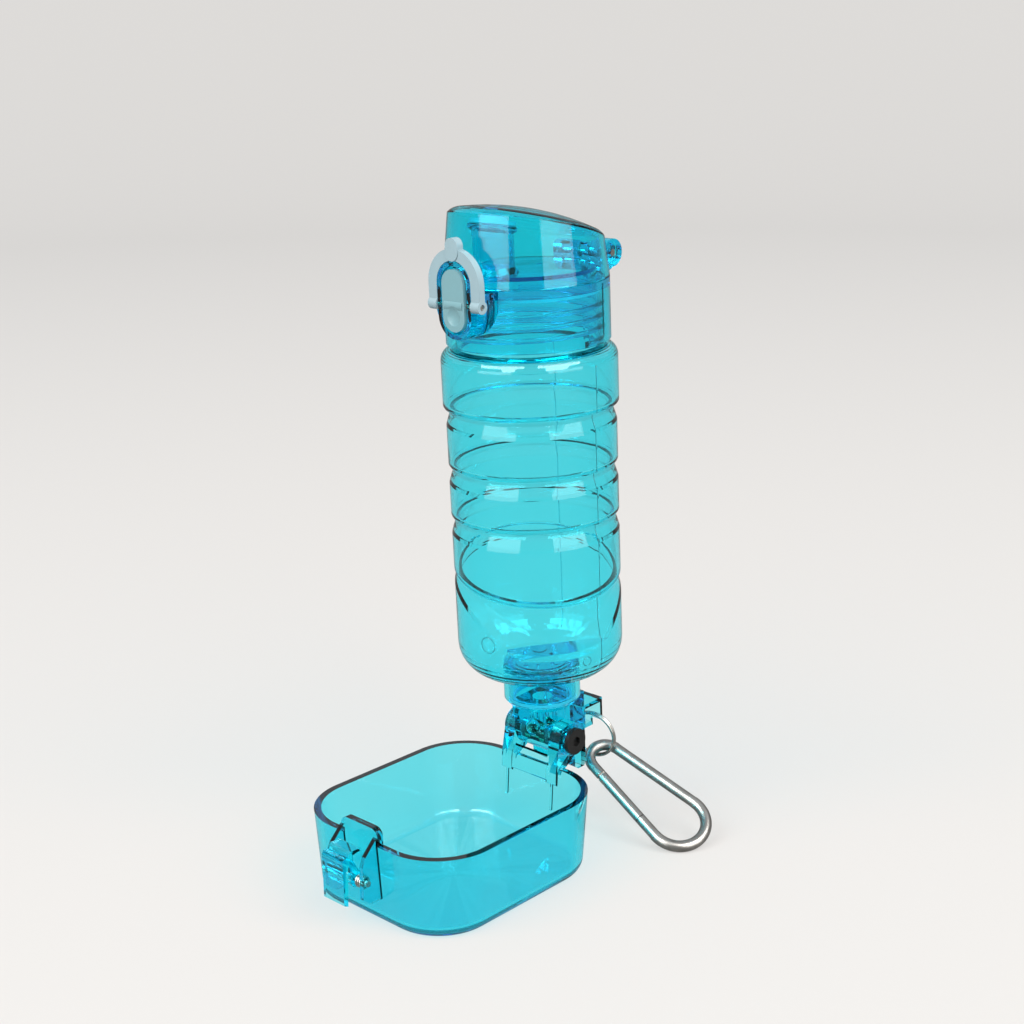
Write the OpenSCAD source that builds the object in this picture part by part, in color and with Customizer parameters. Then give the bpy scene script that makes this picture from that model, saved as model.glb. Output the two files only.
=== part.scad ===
// Travel water bottle for dogs: a flip-top bottle that stands on a folding drinking bowl.
// Units are millimetres. The origin is the middle of the bowl's flat underside, +Z is up,
// and the bottle stands behind the bowl, on the hinge at the bowl's +Y end.

/* [Bowl] */
// Length of the bowl over its rim
bowl_len = 102; // [96:1:110]
// Width of the bowl over its rim
bowl_wid = 88.5; // [84:0.5:96]
// Corner radius of the rim
bowl_corner = 26.4; // [22:0.2:30]
// Height of the bowl's rim above the ground
bowl_h = 35.2; // [32:0.2:38]
// Thickness of the bowl's walls and floor
bowl_wall = 3; // [2:0.1:3.2]
// Slope of the bowl's walls in degrees
bowl_draft = 4; // [2:0.5:6]
// Rounding between the bowl's walls and its underside
bowl_fillet = 5.5; // [5:0.5:7]

/* [Hinge] */
// Distance of the hinge axis behind the bowl's rim
hinge_out = 5.6; // [5:0.1:7]
// Height of the hinge axis above the rim
hinge_rise = 11; // [10.5:0.1:12]
// Angle by which the bottle leans over the bowl in degrees
lean = 2.2; // [0:0.2:4]
// Thickness of each hinge ear
ear_t = 5.8; // [5:0.1:6.4]
// Radius of the rounded end of the hinge ears
ear_r = 7.8; // [7.4:0.1:8.4]
// Width of the hinge block between the ears
block_w = 19.4; // [18:0.1:20.6]
// Diameter of the hinge screw's shank
screw_d = 6; // [5:0.1:6.4]
// Diameter of the hinge screw's head
screw_head_d = 11.6; // [10:0.1:12.4]
// Side clearance between the hinge block and each ear
side_gap = 0.35; // [0.3:0.05:0.6]

/* [Bottle] */
// Diameter of the bottle's body
body_d = 70; // [66:0.5:74]
// Wall thickness of the bottle
body_wall = 1.5; // [1.2:0.1:2]
// Height of the bottle's body from its underside to its shoulder
body_h = 140; // [134:1:150]
// Height of the bottle's underside above the hinge axis
base_rise = 30.7; // [29.5:0.1:33]
// Depth of the grooves round the body
groove_d = 1.7; // [1:0.1:2]
// Slope of the lowest groove in degrees
wave_tilt = 12.3; // [8:0.1:14]
// Outside diameter of the outlet neck under the body
outlet_d = 28.6; // [27:0.1:29]
// Outside diameter of the filling neck
neck_d = 59; // [57:0.2:60]
// Height of the filling neck
neck_h = 21.5; // [20:0.5:23]

/* [Collar and lid] */
// Outside diameter of the collar
collar_d = 66.8; // [66:0.2:70]
// Height of the collar
collar_h = 24.6; // [24:0.1:26]
// Wall thickness of the collar and the lid
cap_wall = 1.8; // [1.5:0.1:2.2]
// Pitch of the screw thread, one turn of which lifts the collar by as much
thread_pitch = 4.6; // [3:0.1:5]
// Diameter of the raised deck inside the lid
deck_d = 56; // [52:0.5:57]
// Height of the raised deck above the collar
deck_h = 4.5; // [4:0.5:6]
// Diameter of the drinking spout
spout_d = 16; // [15:0.5:17]
// Distance of the spout in front of the bottle's axis
spout_front = 17.8; // [14:0.2:17.8]
// Height of the spout above the deck
spout_h = 18.6; // [16:0.1:18.8]
// Slope of the spout's sealing face in degrees
spout_slope = 11; // [0:1:14]
// Height of the lid's top on the bottle's axis above the collar
lid_h = 24.4; // [23.4:0.1:26]
// Slope of the lid's top in degrees
lid_slope = 16.8; // [14:0.1:17.2]
// Inward slope of the lid's side in degrees
lid_taper = 6.6; // [5:0.2:7]
// Distance of the lid's hinge axis behind the bottle's axis
lid_hinge_y = 38; // [37.6:0.1:39]
// Radius of the lid's hinge knuckles
knuckle_r = 5.7; // [5:0.1:5.8]
// Height of the dome on the lid's top
lid_dome = 3.8; // [1:0.1:4.2]
// Diameter of the lid's hinge pin
lid_pin_d = 3; // [2.5:0.1:3.5]

/* [Button and bail] */
// Width of the button's boss at its base
boss_w = 27; // [26:0.5:28]
// Width of the push button
button_w = 11.6; // [10.6:0.2:12]
// Distance between the button's two end arcs
button_span = 12.6; // [11:0.2:13.4]
// How far the button's face stands in front of the collar
button_out = 8.2; // [7.8:0.1:9]
// Width of the bail's band
bail_band = 4.5; // [4:0.1:5]
// Thickness of the bail's band
bail_t = 3; // [2.6:0.1:3.2]
// Diameter of the cross pin that carries the button and the bail
cross_pin_d = 2.4; // [2:0.1:2.6]

/* [Bowl latch] */
// Width of the guard round the bowl's latch
guard_w = 21; // [20:0.5:24]
// Height of the guard above the rim
guard_rise = 7; // [5:0.5:8]
// How far the guard stands out from the bowl's wall
guard_out = 8; // [7:0.5:9]
// Diameter of the latch pin
latch_pin_d = 2.6; // [2.2:0.1:3]

/* [Carrying gear] */
// Diameter of the carabiner's rod
rod_d = 5; // [4.5:0.1:5.4]
// Distance between the carabiner's two end arcs
carabiner_span = 43; // [40:1:45]
// Radius of the carabiner's small end, to the middle of the rod
eye_r = 7.2; // [6.8:0.1:7.6]
// Radius of the carabiner's large end, to the middle of the rod
crook_r = 12.5; // [12:0.1:13.2]
// Diameter of the split ring over its wire
ring_d = 23; // [22:0.5:24]
// Diameter of the split ring's wire
ring_wire = 2; // [1.6:0.1:2.2]
// Width of the lug that shelters the split ring
lug_hood_w = 16; // [14:0.5:17]

/* [Hidden] */
$fn = 64;
eps = 0.01;
fit = 0.05;
gap = 0.3;

// Places on the bowl
hinge_y = bowl_len / 2 + hinge_out;
hinge_z = bowl_h + hinge_rise;
draft_t = tan(bowl_draft);

// Sizes of the hinge
ear_in = block_w / 2 + side_gap;
ear_out = ear_in + ear_t;
head_step = 1;
head_t = 2;
nut_flange_t = 1.8;
nut_flange_r = screw_head_d / 2 - 0.8;
valve_r = screw_d / 2 + 2.4;
valve_len = block_w - 2 * 1.6;
seal_t = 2.2;
rib_t = 1;
// Web between the ears' stems: its thickness, and its reach above and below the bowl's rim
web_t = 1.8;
web_rise = 4.5;
web_drop = 6;

// Heights on the bottle, above the hinge axis
body_r = body_d / 2;
shoulder_z = base_rise + body_h;
neck_top = shoulder_z + neck_h;
collar_z = shoulder_z + 2.2;
collar_r = collar_d / 2;
collar_top = collar_z + collar_h;
cap_r = outlet_d / 2 + gap + cap_wall;
cap_z = 14.8;
lid_roof = 1.7;

// Place of the lid's hinge
lid_hinge_z = collar_top + 5.9;
lid_ear_in = 8;
lid_ear_out = 13.6;

// Place of the button
button_y = -collar_r - button_out;
cross_z = collar_top - 4.9;
cross_y = button_y + 2.2;
boss_back = -collar_r - 0.5;
arc_top = cross_z + 8.1;
arc_low = arc_top - button_span;
button_room = 1.2;
rim_r = button_w / 2 + button_room + 1.8;

// Place of the latch on the bowl
latch_y = -bowl_len / 2 - guard_out + 2.6;
latch_z = 21.5;
cheek_t = 2;
// Width kept free beside the lever for its spring
spring_room = 4.6;
spring_wire = 0.9;
spring_pitch = 1.05;

// The lug behind the hinge block, which carries the split ring
lug_w = 4.6;
lug_len = 13.6;
lug_h = 13.4;
lug_z = -7.4;
lug_wall = 2;
lug_hood_h = 10.4;
lug_top = lug_z + lug_h + 1.5;
lug_end_wall = 1.4;
block_back = cap_r;
skirt_drop = 19.6;

// Points of an arc from angle a0 to angle a1
function arc_points(cx, cy, r, a0, a1, n = 8) =
    [for (i = [0:n]) let (a = a0 + (a1 - a0) * i / n) [cx + r * cos(a), cy + r * sin(a)]];

// A point of the bottle's frame, turned with the leaning bottle
function on_bottle(p) =
    [p[0], hinge_y + p[1] * cos(lean) - p[2] * sin(lean), hinge_z + p[1] * sin(lean) + p[2] * cos(lean)];

// Stands the bottle's parts on the hinge, with the bottle's lean
module on_hinge() translate([0, hinge_y, hinge_z]) rotate([lean, 0, 0]) children();

// A cylinder of length l along X, centred on x = 0
module rod_x(r, l) rotate([0, 90, 0]) cylinder(r = r, h = l, center = true);

// A cylinder along X from x0 to x1
module rod_span(r, x0, x1) translate([x0, 0, 0]) rotate([0, 90, 0]) cylinder(r = r, h = x1 - x0);

// Extrudes an outline drawn in (y, z) along X, between x0 and x1
module slab_x(x0, x1) translate([x0, 0, 0]) rotate([90, 0, 90]) linear_extrude(x1 - x0) children();

// A straight-sided outline with round ends, from z0 to z1, drawn in (x, z)
module racetrack(r, z0, z1) {
    translate([0, z0]) circle(r = r);
    translate([0, z1]) circle(r = r);
    translate([-r, z0]) square([2 * r, z1 - z0]);
}

// Extrudes an outline drawn in (x, z) from y0 back to y1
module slab_y(y0, y1) translate([0, y1, 0]) rotate([90, 0, 0]) linear_extrude(y1 - y0) children();

// Half section of a tub with sloping walls, from its corner's centre outwards
module tub_section(r, z0, z1, f) {
    zc = z0 + f;
    rc = r - (z1 - zc) * draft_t - f / cos(bowl_draft);
    polygon(concat([[0, z0]], arc_points(rc, zc, f, -90, -bowl_draft), [[r, z1], [0, z1]]));
}

// A tub with round corners, w wide and l long at its top
module tub(w, l, r, z0, z1, f) {
    cx = w / 2 - r;
    cy = l / 2 - r;
    for (sx = [-1, 1], sy = [-1, 1])
        translate([sx * cx, sy * cy, 0]) rotate_extrude() tub_section(r, z0, z1, f);
    for (s = [0, 1]) mirror([s, 0, 0])
        translate([cx, 0, 0]) rotate([90, 0, 0]) linear_extrude(2 * cy, center = true)
            tub_section(r, z0, z1, f);
    for (s = [0, 1]) mirror([0, s, 0])
        translate([0, cy, 0]) rotate([90, 0, 90]) linear_extrude(2 * cx, center = true)
            tub_section(r, z0, z1, f);
    translate([-cx, -cy, z0]) cube([2 * cx, 2 * cy, z1 - z0]);
}

// Middle of the bowl's end wall and the inner face of the ears' stems, from the hinge axis
wall_y = -hinge_out - bowl_wall / 2;
stem_y = wall_y - bowl_wall;
stem_drop = 7.4;
gusset_drop = 3.6;
rib_drop = 19;

// Side outline of a hinge ear, drawn from the hinge axis in (y, z): a stem that ends
// inside the bowl, and a gusset on the outside of the bowl's wall
module ear_outline() {
    circle(r = ear_r);
    polygon([
        [-ear_r, 0],
        [stem_y, -hinge_rise - 1],
        [stem_y - 0.2, -hinge_rise - stem_drop + 0.8],
        [stem_y + 0.6, -hinge_rise - stem_drop],
        [wall_y, -hinge_rise - stem_drop],
        [wall_y + 1, -hinge_rise - gusset_drop],
        [wall_y + bowl_wall, -hinge_rise - 1],
        [ear_r * cos(-40), ear_r * sin(-40)]
    ]);
}

// Thin rib under a stem, down the inside of the bowl's end wall
module ear_rib_outline() polygon([
    [wall_y, -hinge_rise - stem_drop + 0.4],
    [wall_y - 2.8, -hinge_rise - stem_drop + 0.4],
    [wall_y - 3.6, -hinge_rise - rib_drop],
    [wall_y - 1, -hinge_rise - rib_drop]
]);

// Web that ties the two stems together, from inside the bowl to above its rim
module web_outline() polygon([
    [stem_y, -hinge_rise - web_drop],
    [stem_y + web_t, -hinge_rise - web_drop],
    [stem_y + web_t + 1.1, -hinge_rise + web_rise],
    [stem_y + 1.1, -hinge_rise + web_rise]
]);

module bowl() color([0.1, 0.72, 0.8, 0.6]) difference() {
    union() {
        difference() {
            tub(bowl_wid, bowl_len, bowl_corner, 0, bowl_h, bowl_fillet);
            tub(bowl_wid - 2 * bowl_wall + 2 * draft_t, bowl_len - 2 * bowl_wall + 2 * draft_t,
                bowl_corner - bowl_wall + draft_t, bowl_wall, bowl_h + 1, bowl_fillet - bowl_wall);
        }
        translate([0, hinge_y, hinge_z]) {
            slab_x(ear_in, ear_out) ear_outline();
            slab_x(-ear_out, -ear_in) ear_outline();
            rod_span(ear_r - 1, ear_out - eps, ear_out + head_step);
            rod_span(ear_r - 1, -ear_out - head_step, -ear_out + eps);
            for (x = [-ear_in - ear_t / 2, ear_in + ear_t / 2])
                slab_x(x - rib_t / 2, x + rib_t / 2) ear_rib_outline();
            slab_x(-ear_in - eps, ear_in + eps) web_outline();
        }
        latch_guard();
    }
    translate([0, hinge_y, hinge_z]) {
        rod_x(screw_d / 2 + fit, 3 * ear_out);
        rod_span(nut_flange_r + fit, -ear_out - 2 * head_step, -ear_out - head_step + nut_flange_t + fit);
    }
    translate([0, latch_y, latch_z]) rod_x(latch_pin_d / 2 - fit / 5, guard_w + 1);
}

// Raised guard round the latch: a back plate in line with the bowl's wall and two cheeks
module latch_guard() {
    corner = 3.4;
    top = bowl_h + guard_rise;
    back = -bowl_len / 2;
    front = back - guard_out;
    half = guard_w / 2;
    // The cheeks slope down and out from the back plate to the latch pin
    for (x = [-half, half - cheek_t]) slab_x(x, x + cheek_t) polygon([
        [back + bowl_wall / 2, top - corner],
        [back - 0.6, top - corner],
        [front + 1.6, bowl_h - 2.2],
        [front, bowl_h - 6],
        [front, latch_z - 6],
        [front + 4, latch_z - 9],
        [back + bowl_h * draft_t, latch_z - 9],
        [back + bowl_wall / 2, latch_z + 4]
    ]);
    slab_y(back, back + bowl_wall) {
        translate([-half, bowl_h - 1]) square([guard_w, guard_rise + 1 - corner]);
        translate([corner - half, bowl_h - 1]) square([guard_w - 2 * corner, guard_rise + 1]);
        for (x = [corner - half, half - corner]) translate([x, top - corner]) circle(r = corner);
    }
}

module hinge_screw() color([0.12, 0.11, 0.11]) translate([0, hinge_y, hinge_z]) difference() {
    union() {
        rod_span(screw_d / 2, -ear_in - 1, ear_out + head_step + fit);
        rod_span(screw_d / 2 - 1, -ear_out, -ear_in - 1 + eps);
        rod_span(screw_head_d / 2, ear_out + head_step + fit, ear_out + head_step + fit + head_t);
    }
    // Hexagon socket
    translate([ear_out + head_step + head_t - 1.6, 0, 0]) rotate([0, 90, 0]) cylinder(r = 2.3, h = 3, $fn = 6);
}

module hinge_nut() color("silver") translate([0, hinge_y, hinge_z]) difference() {
    union() {
        rod_span(screw_d / 2 - fit / 2, -ear_out - head_step + nut_flange_t - eps, -ear_in - 1 - fit);
        rod_span(nut_flange_r, -ear_out - head_step, -ear_out - head_step + nut_flange_t);
    }
    rod_span(screw_d / 2 - 1 + fit, -ear_out - fit, -ear_in);
}

module latch_pin() color("silver") translate([0, latch_y, latch_z]) rod_x(latch_pin_d / 2 - fit, guard_w - 0.2);

// Wire swept along a coil round the Z axis, with n turns and a square-set round section
module coil(r, wire, pitch, n) {
    seg = 20;
    side = 8;
    last = seg * n;
    ring = [for (i = [0:last], k = [0:side - 1])
        let (a = 360 * i / seg, b = 360 * k / side, q = r + wire / 2 * cos(b))
        [q * cos(a), q * sin(a), pitch * i / seg + wire / 2 * sin(b)]];
    skin = [for (i = [0:last - 1], k = [0:side - 1])
        [i * side + k, i * side + (k + 1) % side, (i + 1) * side + (k + 1) % side, (i + 1) * side + k]];
    polyhedron(ring, concat(skin, [[for (k = [side - 1:-1:0]) k], [for (k = [0:side - 1]) last * side + k]]));
}

module latch_spring() color("silver")
    translate([guard_w / 2 - cheek_t - spring_room + 0.9, latch_y, latch_z]) rotate([0, 90, 0])
        coil(latch_pin_d / 2 + 0.4 + spring_wire / 2, spring_wire, spring_pitch, 3);

module latch_lever() color([0.1, 0.72, 0.8, 0.6]) {
    x0 = -guard_w / 2 + cheek_t + gap;
    x1 = guard_w / 2 - cheek_t - spring_room;
    front = -bowl_len / 2 - guard_out - 4.4 - latch_y;
    difference() {
        translate([0, latch_y, latch_z]) slab_x(x0, x1) {
            circle(r = latch_pin_d / 2 + 1.9);
            // Thumb plate, arm and catch in one outline
            polygon([
                [front, -9], [front + 2, -10], [front + 2.6, 6.5],
                [-1.6, 8], [-1.5, 10.8], [2.4, 11.4], [2.4, 12.4],
                [-2.4, 12.6], [-3.4, 11.6], [-3.8, 10.6],
                [front + 0.8, 10.6], [front, 9.4]
            ]);
            polygon([[-3, 0], [3, 0], [-1.6, 8.4], [-3.8, 8.4]]);
        }
        translate([0, latch_y, latch_z]) rod_x(latch_pin_d / 2, guard_w);
    }
}

// Outline of one groove: a sharp upper lip, a flat floor and a longer slope below it
groove_drop = 7.8;
groove_floor = 2.5;
function groove_points(r, z) = [
    [r, z + 0.6],
    [r - 0.3, z],
    [r - groove_d, z - 0.5],
    [r - groove_d, z - groove_floor],
    [r - groove_d * 0.45, z - 5.2],
    [r, z - groove_drop]
];

// Heights of the level grooves above the bottle's underside, from the top down
groove_z = [for (h = [116.1, 91.6, 70]) base_rise + h * body_h / 140];
top_r = body_r + 1;
base_corner = 14;
shoulder_r = 5;

// Outer half section of the bottle's body, drawn inset by t
module body_section(t) {
    r = body_r - t;
    rt = top_r - t;
    zb = base_rise + t;
    ro = outlet_d / 2 - t;
    rn = neck_d / 2 - t;
    zs = shoulder_z - t;
    drop = t > 0 ? 1 : 0;
    lift = 0.8 * t;
    z_top = groove_z[0] + lift;
    polygon(concat(
        [[0, cap_z + 3.4 - drop], [ro, cap_z + 3.4 - drop], [ro, zb]],
        arc_points(r - base_corner + t, zb + base_corner - t, base_corner - t, -90, 0),
        [for (i = [2:-1:1], p = [5:-1:0]) groove_points(r, groove_z[i] + lift)[p]],
        [for (p = [5:-1:2]) groove_points(r, z_top)[p]],
        [[rt - 0.3, z_top], [rt, z_top + 0.6]],
        arc_points(rt - shoulder_r + t, zs - shoulder_r + t, shoulder_r - t, 0, 80, 6),
        [[rn, zs + 0.4], [rn, neck_top + drop], [0, neck_top + drop]]));
}

// The lowest groove slopes round the body: a leaning ring, kept to an even depth.
// wave_turn is the direction in which it climbs.
wave_z = base_rise + 46.2;
wave_turn = 146;
module wave_groove(t) intersection() {
    steep = (groove_drop - groove_floor) / groove_d;
    inner = body_r - groove_d - t;
    outer = body_r + 4;
    translate([0, 0, wave_z + 0.8 * t]) rotate([0, 0, wave_turn]) rotate([0, -wave_tilt, 0])
        rotate_extrude($fn = 96) polygon([
            [inner - groove_floor / steep, 0],
            [outer, 0],
            [outer, -groove_floor - (outer - inner) * steep]
        ]);
    translate([0, 0, wave_z - 40]) difference() {
        cylinder(r = outer, h = 80, $fn = 96);
        translate([0, 0, -1]) cylinder(r = inner, h = 82, $fn = 96);
    }
}

module bottle_body() color([0.25, 0.78, 0.85, 0.5]) on_hinge() difference() {
    body_section_solid(0);
    difference() {
        body_section_solid(body_wall);
        wave_groove(body_wall);
    }
    wave_groove(0);
}
module body_section_solid(t) rotate_extrude($fn = 96) body_section(t);

// Side outline of the hinge block, drawn from the hinge axis in (y, z)
module block_outline() {
    circle(r = ear_r - 0.3);
    back = block_back - 0.4;
    polygon([
        [-ear_r + 0.3, 0],
        [-ear_r - 0.6, 8],
        [-ear_r - 1.6, cap_z + 1],
        [back, cap_z + 1],
        [back, -skirt_drop + 1.2],
        [back - 1.2, -skirt_drop],
        [back - 5, -skirt_drop],
        [3.4, -14],
        [ear_r * cos(-70), ear_r * sin(-70) + 0.4]
    ]);
}

module outlet_cap() color([0.05, 0.65, 0.78, 0.6]) on_hinge() difference() {
    union() {
        translate([0, 0, cap_z]) cylinder(r1 = cap_r - 2.2, r2 = cap_r, h = 2.6);
        translate([0, 0, cap_z + 2.6]) cylinder(r = cap_r, h = base_rise - cap_z - 2.6 - gap);
        slab_x(-block_w / 2, block_w / 2) block_outline();
        // Lug: a narrow loop for the split ring, with a wide hood over it
        translate([-lug_w / 2, block_back - 1, lug_z]) cube([lug_w, lug_len + 1, lug_h]);
        translate([-lug_hood_w / 2, block_back - 3, lug_top - lug_hood_h])
            cube([lug_hood_w, lug_len + 3, lug_hood_h]);
    }
    // Socket for the outlet neck, above a floor with the water hole
    translate([0, 0, cap_z + 2]) cylinder(r = outlet_d / 2 + gap, h = base_rise);
    translate([0, 0, 2]) cylinder(r = 4.4, h = cap_z + 2);
    // Front mouth of the water channel, which opens over the bowl's rim
    translate([0, -ear_r - 4, 1.2]) rotate([-62, 0, 0]) cylinder(r = 3, h = ear_r + 1);
    // Bore for the valve barrel and its end plates
    rod_x(valve_r + fit, valve_len);
    rod_x(screw_d / 2 + fit, block_w + 2);
    // Hollow skirt behind the barrel
    translate([-block_w / 2 + 2, block_back - 6.2, -22]) cube([block_w - 4, 4, 18]);
    // Eye of the lug, which runs right through under the hood
    translate([-lug_hood_w, block_back + lug_wall, lug_z + lug_wall])
        cube([2 * lug_hood_w, lug_len - lug_wall - lug_end_wall, lug_top - lug_z - 2 * lug_wall]);
}

module outlet_gasket() color("white") on_hinge() translate([0, 0, cap_z + 2 + 0.02]) difference() {
    cylinder(r = outlet_d / 2, h = 1.3);
    translate([0, 0, -1]) cylinder(r = outlet_d / 2 - 2.6, h = 4);
}

// Perforated disc on the bottle's floor, over the outlet neck, with rings round its middle
module outlet_disc() color([0.1, 0.75, 0.8, 0.6]) on_hinge() {
    flange_r = outlet_d / 2 + 1.9;
    translate([0, 0, base_rise + body_wall + fit]) difference() {
        union() {
            translate([0, 0, -3]) cylinder(r = outlet_d / 2 - body_wall - fit, h = 3.4);
            cylinder(r = flange_r, h = 1.2);
            cylinder(r = 3.2, h = 1.6);
        }
        translate([0, 0, 0.6]) difference() {
            cylinder(r = flange_r - 2.8, h = 2);
            translate([0, 0, -1]) cylinder(r = flange_r - 5, h = 4);
        }
        for (i = [0:5]) rotate([0, 0, 60 * i]) translate([6.6, 0, -4]) cylinder(r = 0.9, h = 7);
    }
}

// Hollow barrel round the screw, ported so that it opens as the bottle stands over the bowl
module valve_barrel() color([0.1, 0.5, 0.45, 0.7]) on_hinge() difference() {
    port_w = 5;
    port_depth = valve_r - screw_d / 2 - 0.7;
    rod_x(valve_r, valve_len - 2 * seal_t - 0.8);
    rod_x(screw_d / 2 + fit, block_w);
    translate([0, 0, valve_r]) cube([port_w, port_w, 2 * port_depth], center = true);
    translate([0, -valve_r, 0]) cube([port_w, 2 * port_depth, port_w], center = true);
}

// Ring that seals one end of the barrel; s is the side, -1 or 1
module valve_seal(s) color([0.15, 0.15, 0.15]) on_hinge() difference() {
    translate([s * (valve_len - seal_t - 0.4) / 2, 0, 0]) rod_x(valve_r - 0.1, seal_t);
    rod_x(screw_d / 2 + 0.1, block_w);
}

module valve_seal_left() valve_seal(-1);

module valve_seal_right() valve_seal(1);

module collar_gasket() color("white") on_hinge() translate([0, 0, neck_top + fit]) difference() {
    cylinder(r = neck_d / 2, h = 1.2);
    translate([0, 0, -1]) cylinder(r = neck_d / 2 - 2.6, h = 4);
}

// Boss for the button, part of the collar: a wide base and a narrow rim in front of it
module button_boss() {
    intersection() {
        slab_y(boss_back - 4 + gap, boss_back + 12) racetrack(boss_w / 2, arc_low + 4.4, collar_top);
        translate([-boss_w, -2 * collar_r, collar_z]) cube([2 * boss_w, 3 * collar_r, collar_h]);
    }
    slab_y(button_y + 0.6, boss_back) racetrack(rim_r, arc_low, arc_top);
}

// Side outline of an ear for the lid's hinge pin, rooted in the collar under the lid's edge
module lid_ear_outline() {
    root_y = collar_r - 8;
    translate([lid_hinge_y, lid_hinge_z]) circle(r = knuckle_r);
    polygon([
        [lid_hinge_y, lid_hinge_z - knuckle_r + 0.1],
        [lid_hinge_y - knuckle_r * 0.5, lid_hinge_z - 1],
        [collar_r + 0.6, collar_top + gap],
        [collar_r, collar_top - 0.2],
        [root_y, collar_top - 0.2],
        [root_y, collar_top - 6],
        [collar_r - 0.4, collar_top - 2.4]
    ]);
}

module collar() color([0.05, 0.68, 0.8, 0.6]) on_hinge() difference() {
    union() {
        translate([0, 0, collar_z]) cylinder(r = collar_r, h = collar_h, $fn = 96);
        button_boss();
        // Ears for the lid's hinge pin
        for (s = [-1, 1]) slab_x(s > 0 ? lid_ear_in : -lid_ear_out, s > 0 ? lid_ear_out : -lid_ear_in)
            lid_ear_outline();
    }
    // Round pockets for the ends of the bail's legs
    for (s = [-1, 1]) translate([0, cross_y, cross_z])
        rod_span(bail_t / 2 + 1 + gap, s > 0 ? rim_r : -boss_w, s > 0 ? boss_w : -rim_r);
    // Threaded bore, and a step that holds the spout piece
    translate([0, 0, collar_z - 1]) cylinder(r = neck_d / 2 + 1.7, h = neck_top + 1.6 - collar_z + 1, $fn = 96);
    translate([0, 0, collar_z]) cylinder(r = deck_d / 2 + 0.1, h = collar_h + 1, $fn = 96);
    // Hollow behind the button, and the way for the lid's catch
    slab_y(button_y - 2, -collar_r - 0.4) racetrack(button_w / 2 + button_room, arc_low, arc_top);
    translate([-4.6, -collar_r - 3, collar_top - 3]) cube([9.2, 3.4, 30]);
    translate([0, cross_y, cross_z]) rod_x(cross_pin_d / 2 - 0.01, boss_w + 8);
    translate([0, lid_hinge_y, lid_hinge_z]) rod_x(lid_pin_d / 2 - 0.01, 40);
}

// Spout piece: a plug in the collar with a raised deck and the drinking spout
module spout() color([0.1, 0.74, 0.84, 0.6]) on_hinge() {
    shelf = neck_top + 1.6 + fit;
    deck = collar_top + deck_h;
    r = spout_d / 2;
    difference() {
        union() {
            translate([0, 0, shelf]) cylinder(r = deck_d / 2, h = deck - shelf, $fn = 96);
            translate([0, -spout_front, deck - eps]) cylinder(r1 = r + 1.6, r2 = r, h = 2.4);
            translate([0, -spout_front, deck - eps]) cylinder(r = r, h = spout_h - 3.2);
            // Flange with the sloping sealing face
            on_spout() rotate_extrude() polygon([
                [0, -5], [r - 0.2, -5], [r - 0.2, -3], [r + 1.6, -1.8],
                [r + 1.6, -0.5], [r + 1.1, 0], [0, 0]
            ]);
        }
        translate([0, 0, shelf - 1])
            cylinder(r = deck_d / 2 - cap_wall, h = deck - shelf - cap_wall + 1, $fn = 96);
        translate([0, -spout_front, shelf]) cylinder(r = r - cap_wall, h = 50);
        // Air hole
        translate([0, 8, shelf]) cylinder(r = 1.2, h = 40);
    }
}

// Stands children on the middle of the spout's sealing face, with Z square to the face
module on_spout() translate([0, -spout_front, collar_top + deck_h + spout_h]) rotate([-spout_slope, 0, 0])
    children();

module lid_pin() color("silver") on_hinge() translate([0, lid_hinge_y, lid_hinge_z])
    rod_x(lid_pin_d / 2 - fit, 2 * lid_ear_out - 0.4);

module lid_spring() color("silver") on_hinge()
    translate([-2.1, lid_hinge_y, lid_hinge_z]) rotate([0, 90, 0])
        coil(lid_pin_d / 2 + 0.5 + spring_wire / 2, spring_wire, spring_pitch, 4);

module cross_pin() color("silver") on_hinge() translate([0, cross_y, cross_z])
    rod_x(cross_pin_d / 2 - fit, 2 * (rim_r + bail_band) - 0.6);

module button_spring() color("silver") on_hinge()
    translate([0, -collar_r - 0.4 - 0.3 - fit, arc_low + 1]) rotate([90, 0, 0]) coil(2, 0.6, 0.95, 3);

module push_button() color([0.85, 0.92, 0.93]) on_hinge() difference() {
    union() {
        slab_y(button_y, button_y + 2.6) racetrack(button_w / 2, arc_low, arc_top);
        translate([0, cross_y, cross_z]) rod_x(cross_pin_d / 2 + 1.5, button_w - 2);
    }
    translate([0, cross_y, cross_z]) rod_x(cross_pin_d / 2, boss_w);
    // Thumb dimple at the lower end
    translate([0, button_y - 7.2, arc_low]) sphere(r = 8);
}

module bail_lock() color([0.88, 0.93, 0.94]) on_hinge() {
    ri = rim_r + gap;
    ro = ri + bail_band;
    y0 = cross_y - bail_t / 2;
    y1 = cross_y + bail_t / 2;
    difference() {
        union() {
            slab_y(y0, y1) difference() {
                racetrack(ro, cross_z, arc_top);
                racetrack(ri, cross_z - ro, arc_top);
                translate([-2 * ro, cross_z - 2 * ro]) square([4 * ro, 2 * ro]);
            }
            // Round leg ends at the cross pin
            for (s = [-1, 1]) translate([0, cross_y, cross_z])
                rod_span(bail_t / 2 + 1, s > 0 ? ri : -ro, s > 0 ? ro : -ri);
            // Finger tab
            slab_y(y0 - 0.4, y1) racetrack(3.2, arc_top + ro - 1.6, arc_top + ro + 0.9);
        }
        translate([0, cross_y, cross_z]) rod_x(cross_pin_d / 2, 60);
    }
}

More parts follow.
